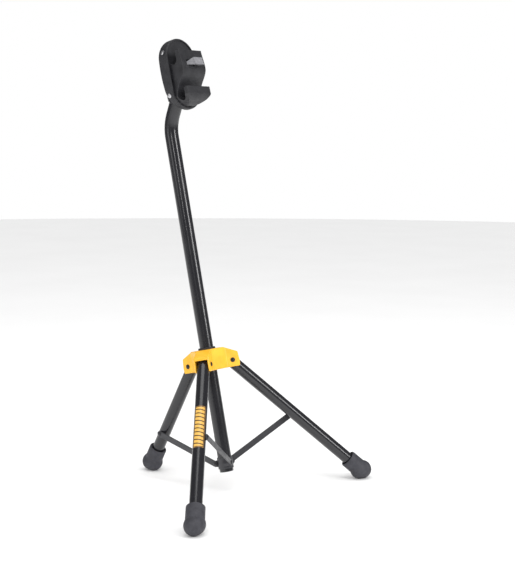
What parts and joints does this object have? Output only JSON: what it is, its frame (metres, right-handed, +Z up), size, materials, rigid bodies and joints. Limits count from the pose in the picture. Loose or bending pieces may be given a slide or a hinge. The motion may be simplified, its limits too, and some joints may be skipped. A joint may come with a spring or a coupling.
{
  "type": "wind instrument stand",
  "caption": "Folding tripod stand with a leaning post, a sliding leg yoke with strap braces, and a hanging cradle with two brace troughs and a thumb latch.",
  "frame": {"origin": "point on the floor below the middle of the bounding box, 13.8 mm in front of the point below the yoke centre", "axes": "+Z up, +X the way the cradle faces; the post leans back towards -X"},
  "size_m": [0.3594, 0.4754, 0.7899],
  "materials": {
    "black_tube": "gloss powder coat on steel tube",
    "black_steel": "satin black steel strip",
    "black_rivet": "black domed rivet",
    "dark_steel": "black oxide steel",
    "bright_steel": "zinc plated steel",
    "yellow_casting": "satin yellow paint on a casting",
    "black_plastic": "fine textured black plastic",
    "grey_plastic": "textured grey plastic",
    "boot_rubber": "dark grey rubber"
  },
  "bodies": {
    "post": {"post_tube": "black_tube", "lower_collar": "black_steel", "collar_roll_pin": "dark_steel", "collar_rivets": "black_rivet", "head_back_shell": "black_plastic", "head_front_shell": "black_plastic", "head_side_screws": "bright_steel", "cradle": "black_plastic", "cradle_screws": "bright_steel", "latch_pin": "bright_steel", "latch_spring": "bright_steel", "socket_bolt": "dark_steel", "socket_nut": "dark_steel"},
    "yoke": {"yoke": "yellow_casting", "yoke_bushing": "black_plastic", "leg_rivets": "dark_steel"},
    "latch": {"latch_lever": "grey_plastic"},
    "leg_right": {"leg_right": "black_tube", "leg_plug_right": "black_plastic", "foot_right": "boot_rubber"},
    "strap_right": {"strap_right": "black_steel", "strap_rivet_right": "black_rivet", "strap_washer_right": "black_plastic"},
    "leg_left": {"leg_left": "black_tube", "leg_plug_left": "black_plastic", "foot_left": "boot_rubber"},
    "strap_left": {"strap_left": "black_steel", "strap_rivet_left": "black_rivet", "strap_washer_left": "black_plastic"},
    "leg_rear": {"leg_rear": "black_tube", "leg_plug_rear": "black_plastic", "foot_rear": "boot_rubber"},
    "strap_rear": {"strap_rear": "black_steel", "strap_rivet_rear": "black_rivet", "strap_washer_rear": "black_plastic"}
  },
  "joints": [
    {"name": "yoke_slide", "type": "slide", "parent": "post", "child": "yoke", "axis": [-0.2233, 0, 0.9748], "range_m": [0, 0.11105]},
    {"name": "leg_right_hinge", "type": "hinge", "parent": "yoke", "child": "leg_right", "pos_m": [0.0057, -0.03464, 0.22467], "axis": [0.8442, 0.5, 0.1933], "range_deg": [0, 33.6]},
    {"name": "strap_right_hinge", "type": "hinge", "parent": "post", "child": "strap_right", "pos_m": [0.03152, -0.01039, 0.0492], "axis": [-0.8442, -0.5, -0.1933], "range_deg": [0, 44.61]},
    {"name": "leg_left_hinge", "type": "hinge", "parent": "yoke", "child": "leg_left", "pos_m": [0.0057, 0.03464, 0.22467], "axis": [-0.8442, 0.5, -0.1933], "range_deg": [0, 33.6]},
    {"name": "strap_left_hinge", "type": "hinge", "parent": "post", "child": "strap_left", "pos_m": [0.03152, 0.01039, 0.0492], "axis": [0.8442, -0.5, 0.1933], "range_deg": [0, 44.61]},
    {"name": "leg_rear_hinge", "type": "hinge", "parent": "yoke", "child": "leg_rear", "pos_m": [-0.05279, 0, 0.21127], "axis": [0, -1, 0], "range_deg": [0, 33.6]},
    {"name": "strap_rear_hinge", "type": "hinge", "parent": "post", "child": "strap_rear", "pos_m": [0.01397, 0, 0.04518], "axis": [0, 1, 0], "range_deg": [0, 44.61]},
    {"name": "latch_hinge", "type": "hinge", "parent": "post", "child": "latch", "pos_m": [-0.05753, 0, 0.74529], "axis": [0, -1, 0], "range_deg": [0, 20], "stiffness_Nm_per_rad": 0.02}
  ],
  "couplings": [
    {"joint": "leg_right_hinge", "follows": "yoke_slide", "rad_per_m": 5.2807},
    {"joint": "strap_right_hinge", "follows": "yoke_slide", "rad_per_m": 7.0111},
    {"joint": "leg_left_hinge", "follows": "yoke_slide", "rad_per_m": 5.2807},
    {"joint": "strap_left_hinge", "follows": "yoke_slide", "rad_per_m": 7.0111},
    {"joint": "leg_rear_hinge", "follows": "yoke_slide", "rad_per_m": 5.2807},
    {"joint": "strap_rear_hinge", "follows": "yoke_slide", "rad_per_m": 7.0111}
  ]
}
